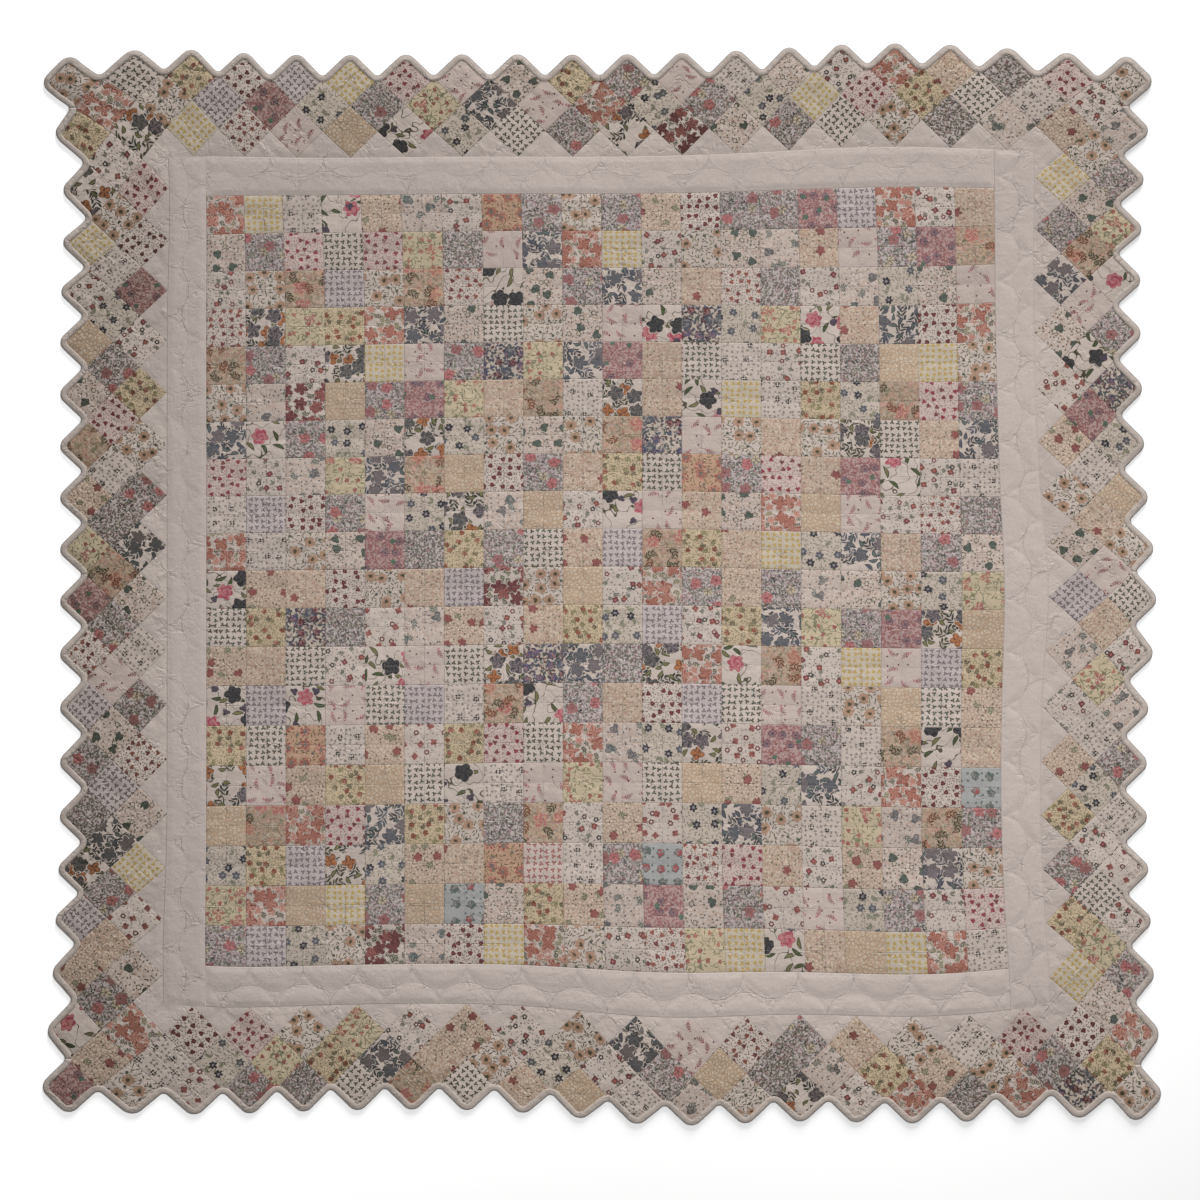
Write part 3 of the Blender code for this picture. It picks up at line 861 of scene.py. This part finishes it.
def shelledCotton(name, colour):
    # The strips' cloth, whose patch map gives places along the strip in shells and across it.
    recipe = Recipe(name)
    part = recipe.patch()
    width = plan["patchWidth"] * 1000
    fold = (part["X"] + 0.5).maths("FRACT") - 0.5
    other = part["X"].maths("FRACT") - 0.5
    hanging = quilting["hangingShell"] * (1 - fold * fold * 4) ** 0.5
    standing = 1 - quilting["standingShell"] * (1 - other * other * 4) ** 0.5
    line = abs(part["Y"] - hanging).maths("MINIMUM", abs(part["Y"] - standing)) * width
    edge = part["Y"].maths("MINIMUM", 1 - part["Y"]) * width
    along = part["X"] * (diagonal * width)
    return clothFinish(recipe, dye(colour), line, along, edge, finish["stripCreases"])


def backingCotton(name, colour):
    recipe = Recipe(name)
    spot = recipe.spot()
    recipe.fill(recipe.shader, {
        "Base Color": recipe.mix(recipe.noiseAt(spot, 0.2, 3.0), dye(colour), dye("plain")),
        "Normal": recipe.bump(recipe.noiseAt(spot, 0.0012, 1.0), 0.4, 0.0003),
        "Roughness": finish["roughness"],
    })
    return recipe.material


settingCotton = plainCotton("settingCotton", "plain")
stripCotton = shelledCotton("stripCotton", "plain")
backing = backingCotton("backingCotton", "cream")

# Pieces. Each starts as flat patches in plan units and is then laid on the floor.
patchwork = {
    "tintSpread": 0.05,
    "cutReach": 2,  # metres of printed cloth that the patches are cut from
}


def cutPlace():
    reach = patchwork["cutReach"]
    return Vector((chance.uniform(-reach, reach), chance.uniform(-reach, reach)))


class ClothPiece:
    def __init__(self, name, materials):
        self.name = name
        self.materials = [*materials, backing]
        self.bm = bmesh.new()
        self.cloth = self.bm.loops.layers.uv.new("cloth")
        self.patch = self.bm.loops.layers.uv.new("patch")
        self.tint = self.bm.faces.layers.float.new("tint")
        self.deep = self.bm.faces.layers.float.new("deep")

    def addPatch(self, middle, size, turn, steps, material, depth):
        # One square of cloth, cut from a random place of its print.
        matrix = Matrix.Translation((*middle, 0)) @ Matrix.Rotation(turn, 4, "Z") @ Matrix.Scale(size, 4)
        grid = bmesh.ops.create_grid(self.bm, x_segments=steps, y_segments=steps, size=0.5, matrix=matrix)
        back = matrix.inverted()
        spin = Matrix.Rotation(chance.randrange(4) * math.pi / 2, 2)
        start = cutPlace()
        tint = chance.uniform(-1, 1) * patchwork["tintSpread"]
        faces = {face for vert in grid["verts"] for face in vert.link_faces}
        for face in faces:
            face.material_index = material
            face[self.tint] = tint
            face[self.deep] = depth
            for loop in face.loops:
                place = (back @ loop.vert.co).xy
                loop[self.patch].uv = place
                loop[self.cloth].uv = start + spin @ place * (size * plan["patchWidth"])
        return grid["verts"]

    def addLength(self, first, last, quarters, steps):
        # A stretch of plain strip on one side, from first to last along it.
        middle = ((first + last) / 2, (centreEdge + stripEdge) / 2)
        matrix = Matrix.Translation((*middle, 0)) @ Matrix.Diagonal((last - first, 1, 1, 1))
        count = round((last - first) * steps)
        bmesh.ops.create_grid(self.bm, x_segments=count, y_segments=steps, size=0.5, matrix=matrix)
        start = cutPlace()
        for face in self.bm.faces:
            for loop in face.loops:
                place = loop.vert.co.xy
                loop[self.patch].uv = (place.x / diagonal, place.y - centreEdge)
                loop[self.cloth].uv = start + place * plan["patchWidth"]
        for vert in self.bm.verts:
            vert.co.xy = turned(vert.co.xy, quarters)

    def layDown(self, heightAt):
        # Every place gets its pull and its height, and the edges and the underside are closed.
        bmesh.ops.remove_doubles(self.bm, verts=self.bm.verts, dist=0.0005)
        for vert in self.bm.verts:
            point = vert.co.xy
            vert.co = (*(pulled(point) - quiltMiddle), heightAt(point))
        for face in self.bm.faces:
            face.smooth = True
        rim = [edge for edge in self.bm.edges if edge.is_boundary]
        for edge in rim:
            edge.smooth = False
        under = len(self.materials) - 1
        wall = bmesh.ops.extrude_edge_only(self.bm, edges=rim)["geom"]
        for item in wall:
            if isinstance(item, bmesh.types.BMVert):
                item.co.z = quilting["foot"]
            if isinstance(item, bmesh.types.BMFace):
                item.material_index = under
        foot = [item for item in wall if isinstance(item, bmesh.types.BMEdge) and item.is_boundary]
        for face in bmesh.ops.contextual_create(self.bm, geom=foot)["faces"]:
            face.material_index = under
        bmesh.ops.recalc_face_normals(self.bm, faces=self.bm.faces)

    def finished(self, nodes):
        mesh = bpy.data.meshes.new(self.name)
        self.bm.to_mesh(mesh)
        self.bm.free()
        for material in self.materials:
            mesh.materials.append(material)
        piece = bpy.data.objects.new(self.name, mesh)
        scene.collection.objects.link(piece)
        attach(piece, "root")
        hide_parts(*nodes)
        return piece


letters = list(cottonList)
patchCottons = list(cottonList.values())
centre = {"steps": 16, "dyeDepthAndShade": 0.16}


def layCentre():
    # The centre in four quarters of ten patches by ten.
    half = plan["patches"] // 2
    for down in range(2):
        for across in range(2):
            name = "centre_" + ("top", "bottom")[down] + "_" + ("left", "right")[across]
            cloth = ClothPiece(name, patchCottons)
            for row in range(down * half, down * half + half):
                for column in range(across * half, across * half + half):
                    middle = (column - centreEdge + 0.5, centreEdge - row - 0.5)
                    material = letters.index(clothChart[row][column])
                    cloth.addPatch(middle, 1, 0, centre["steps"], material, centre["dyeDepthAndShade"])
            cloth.layDown(centreHeight)
            piece = cloth.finished(["centre_panel"])


strips = {"steps": 20}


def stripPoint(point, quarters):
    along, out = turned(point, (4 - quarters) % 4)
    return along, out - centreEdge


def layStrips():
    for side, quarters in sides.items():
        end = centreEdge if quarters % 2 == 0 else stripEdge
        for half, (first, last) in enumerate(((-end, 0), (0, end))):
            cloth = ClothPiece(f"strip_{side}_{half + 1}", [stripCotton])
            cloth.addLength(first, last, quarters, strips["steps"])
            cloth.layDown(lambda point: stripHeight(point, side, *stripPoint(point, quarters), end))
            piece = cloth.finished(["strip_" + side])


border = {
    "steps": 12,
    "dyeDepthAndShade": {"top": 0.54, "right": 0.32, "bottom": 0.50, "left": 0.64},  # darker dyes deepened more than in the centre and most on the left and top: deeper dye with painted shade where the light falls away
    "tipReach": 0.40,
    "tipKept": 0.55,
}


def borderCells():
    # Every square of the border's lattice, by side and half, with its place in half squares.
    cells = {}
    steps = 2 * plan["borderPoints"] - 1
    for across in range(steps):
        for down in range(steps):
            right = -outerRow + across * diagonal / 2
            up = outerRow - down * diagonal / 2
            out = max(abs(right), abs(up))
            if (across + down) % 2 or out < stripEdge - near:
                continue
            if abs(up) > abs(right) - near:
                side = "top" if up > 0 else "bottom"
            else:
                side = "right" if right > 0 else "left"
            along = turned((right, up), (4 - sides[side]) % 4)[0]
            cells.setdefault((side, 1 if along < -near else 2), []).append((across, down, right, up, out))
    return cells


def borderLetter(across, down):
    # The top and bottom rows hold their corners, and the side rows start below them.
    last = 2 * (plan["borderPoints"] - 1)
    row = min(across, down, last - across, last - down)
    if row == down:
        return borderChart["top"][row][(across - row) // 2]
    if row == last - down:
        return borderChart["bottom"][row][(across - row) // 2]
    side = "left" if row == across else "right"
    return borderChart[side][row][(down - row) // 2 - 1]


def trimSetting(cloth, verts, right, up):
    # A setting square is cut along the strips' seams, and what lies inside them is taken away.
    for normal, out in (((1, 0, 0), right), ((0, 1, 0), up)):
        if abs(out) < stripEdge - near:
            continue
        edges = {edge for vert in verts for edge in vert.link_edges}
        faces = {face for vert in verts for face in vert.link_faces}
        geom = [*verts, *edges, *faces]
        place = (right, up, 0)
        cut = bmesh.ops.bisect_plane(cloth.bm, geom=geom, plane_co=place, plane_no=normal, dist=1e-5)
        verts = list({item for item in cut["geom"] if isinstance(item, bmesh.types.BMVert)})
    inside = []
    for face in {face for vert in verts for face in vert.link_faces}:
        middle = face.calc_center_median()
        if max(abs(middle.x), abs(middle.y)) < stripEdge:
            inside.append(face)
    bmesh.ops.delete(cloth.bm, geom=inside, context="FACES")


def drawnIn(point):
    # The outer squares' tips are drawn in under the binding's curve.
    right, up = point
    out = max(abs(right), abs(up))
    start = outerRow + diagonal / 2 - border["tipReach"]
    if out <= start:
        return right, up
    shrink = (start + (out - start) * border["tipKept"]) / out
    if abs(up) >= abs(right):
        return right, up * shrink
    return right * shrink, up


def layBorder():
    square = diagonal / math.sqrt(2)
    for (side, half), cells in borderCells().items():
        cloth = ClothPiece(f"border_{side}_{half}", [*patchCottons, settingCotton])
        # A side's depth deepens its darker dyes and paints shade, most on the left and top.
        depth = border["dyeDepthAndShade"][side]
        for across, down, right, up, out in cells:
            setting = out < stripEdge + near
            material = len(patchCottons) if setting else letters.index(borderLetter(across, down))
            verts = cloth.addPatch((right, up), square, math.pi / 4, border["steps"], material, depth)
            if setting:
                trimSetting(cloth, verts, right, up)
        for vert in cloth.bm.verts:
            vert.co.xy = drawnIn(vert.co.xy)
        cloth.layDown(borderHeight)
        piece = cloth.finished(["border_" + side])


def bindingSpan(line, quarters, half):
    # Half of one side's stretch of the edge. The top and bottom stretches go on round the corners.
    stations = plan["arcSteps"] + plan["edgeSteps"]
    corners = 2 * plan["borderPoints"] - 1
    start = quarters * corners
    middle = start + (corners - 1) // 2
    stop = start + corners - 1
    longer = 2 if quarters % 2 == 0 else -1
    first, last = ((start - longer, middle), (middle, stop + longer))[half]
    offset = plan["arcSteps"] // 2
    places = range(first * stations + offset, last * stations + offset + 1)
    return [line[place % len(line)] for place in places]


# The binding's section from the floor outside, over the edge, to the floor inside: inset and height.
binding = {
    "section": (
        (0.0010, 0.0004),
        (-0.0024, 0.0008),
        (-0.0030, 0.0020),
        (-0.0024, 0.0034),
        (-0.0004, 0.0044),
        (0.0030, 0.0047),
        (0.0068, 0.0047),
        (0.0092, 0.0044),
        (0.0096, 0.0020),
        (0.0090, 0.0004),
    ),
    "ripple": 0.1,  # a share of the height, but not at the floor
    "rippleFrom": 0.001,
    "flatWidth": 0.017,
    "stitchPlace": 0.70,  # this and the next two are places across the binding, from 0 to 1
    "outerEdgeShade": (0.44, 0.36),
    "innerEdgeShade": (0.83, 0.88),
    "outerEdgeShadeStrength": 0.7,
    "innerEdgeShadeStrength": 0.15,
}


def bindingCotton():
    recipe = Recipe("bindingCotton")
    part = recipe.patch()
    # Painted shade: darker over the binding's outer rounded edge and along its inner edge, where it meets
    # the border.
    outerEdgeShade = recipe.smooth(part["Y"], *binding["outerEdgeShade"]) * binding["outerEdgeShadeStrength"]
    innerEdgeShade = recipe.smooth(part["Y"], *binding["innerEdgeShade"]) * binding["innerEdgeShadeStrength"]
    colour = recipe.mix(outerEdgeShade.maths("MAXIMUM", innerEdgeShade), dye("edging"), dye("smoke"))
    stitched = abs(part["Y"] - binding["stitchPlace"]) * 40
    noSeam = 9.0
    return clothFinish(recipe, colour, stitched, part["X"] * 1000, noSeam)


def layBinding():
    material = bindingCotton()
    rings = [edgeLine(inset) for inset, _ in binding["section"]]
    for side, quarters in sides.items():
        for half in range(2):
            cloth = ClothPiece(f"binding_{side}_{half + 1}", [material])
            bm = cloth.bm
            loops = []
            for (_, height), ring in zip(binding["section"], rings):
                verts = []
                for point in bindingSpan(ring, quarters, half):
                    place = pulled(point) - quiltMiddle
                    ripple = binding["ripple"] if height > binding["rippleFrom"] else 0
                    lift = 1 + ripple * unevenness(point, 3, 5)
                    verts.append(bm.verts.new((*place, height * lift)))
                loops.append([bm.edges.new(pair) for pair in zip(verts, verts[1:])])
            for first, second in zip(loops, loops[1:] + loops[:1]):
                bmesh.ops.bridge_loops(bm, edges=first + second)
            ends = [edge for edge in bm.edges if edge.is_boundary]
            bmesh.ops.holes_fill(bm, edges=ends)
            bmesh.ops.recalc_face_normals(bm, faces=bm.faces)
            length = mapBinding(cloth, loops)
            piece = cloth.finished(["binding_" + side])


def mapBinding(cloth, loops):
    # Along the binding in metres, and across it from 0 at the floor outside to 1 at its inner edge.
    # The longest way along is given back.
    place = {}
    for row, edges in enumerate(loops):
        travelled = 0.0
        before = None
        verts = [edges[0].verts[0], *[edge.verts[1] for edge in edges]]
        for vert in verts:
            if before:
                travelled += (vert.co.xy - before).length
            before = vert.co.xy.copy()
            place[vert] = (travelled, row / (len(loops) - 1))
    for face in cloth.bm.faces:
        face.smooth = True
        for loop in face.loops:
            loop[cloth.patch].uv = place[loop.vert]
            loop[cloth.cloth].uv = (place[loop.vert][0], place[loop.vert][1] * 0.03)
    return max(along for along, _ in place.values())


floor = {"size": 12, "colour": (0.93, 0.93, 0.93, 1), "glow": (0.35, 0.35, 0.35, 1), "leastGlow": 0.13}


def layFloor():
    # The floor glows, most at the top left: painted light that makes up for the lamps falling away there, so
    # it looks evenly white.
    mesh = bpy.data.meshes.new("floor")
    bm = bmesh.new()
    bmesh.ops.create_grid(bm, x_segments=1, y_segments=1, size=floor["size"] / 2)
    bm.to_mesh(mesh)
    bm.free()
    ground = bpy.data.objects.new("floor", mesh)
    scene.collection.objects.link(ground)
    recipe = Recipe("floor")
    part = recipe.parts(recipe.spot())
    share = recipe.smooth(part["Y"] * 0.35 - part["X"], -0.7, 1.1)
    share = share * (1 - floor["leastGlow"]) + floor["leastGlow"]
    recipe.fill(recipe.shader, {
        "Emission Color": recipe.mix(share, (0, 0, 0, 1), floor["glow"]),
        "Emission Strength": 1,
        "Base Color": floor["colour"],
        "Roughness": 0.9,
    })
    mesh.materials.append(recipe.material)


light = {
    "world": 0.17,
    "key": 2900.0,
    "keySize": 4.0,
    "keyPlace": (2.5, 13.0, 3.2),
    "overhead": 42.0,
    "overheadSize": 1.4,
    "overheadPlace": (0.41, -0.20, 2.3),
}


def addLamp(name, power, size, place, aim):
    lamp = bpy.data.lights.new(name, "AREA")
    lamp.energy = power
    lamp.size = size
    holder = bpy.data.objects.new(name, lamp)
    holder.location = place
    holder.rotation_euler = (Vector(aim) - Vector(place)).to_track_quat("-Z", "Y").to_euler()
    scene.collection.objects.link(holder)


def lightScene():
    world = bpy.data.worlds.new("studio")
    scene.world = world
    world.use_nodes = True
    background = world.node_tree.nodes["Background"].inputs
    background["Color"].default_value = (1, 0.99, 0.98, 1)
    background["Strength"].default_value = light["world"]
    right, up, _ = light["overheadPlace"]
    addLamp("key", light["key"], light["keySize"], light["keyPlace"], (0, 0, 0))
    addLamp("overhead", light["overhead"], light["overheadSize"], light["overheadPlace"], (right, up, 0))
    scene.view_settings.view_transform = "Standard"


view = {"height": 12, "across": 2.3094, "right": -0.0048, "up": -0.0346}


def addCamera():
    camera = bpy.data.cameras.new("camera")
    camera.sensor_width = 36
    camera.lens = camera.sensor_width * view["height"] / view["across"]
    camera.clip_end = 100
    holder = bpy.data.objects.new("camera", camera)
    holder.location = (view["right"] - quiltMiddle.x, view["up"] - quiltMiddle.y, view["height"])
    scene.collection.objects.link(holder)
    scene.camera = holder


addCamera()
layFloor()
lightScene()
print("floor, lights and camera set")
layCentre()
print("centre laid")
layStrips()
print("strips laid")
layBorder()
print("border laid")
layBinding()
print("binding laid")
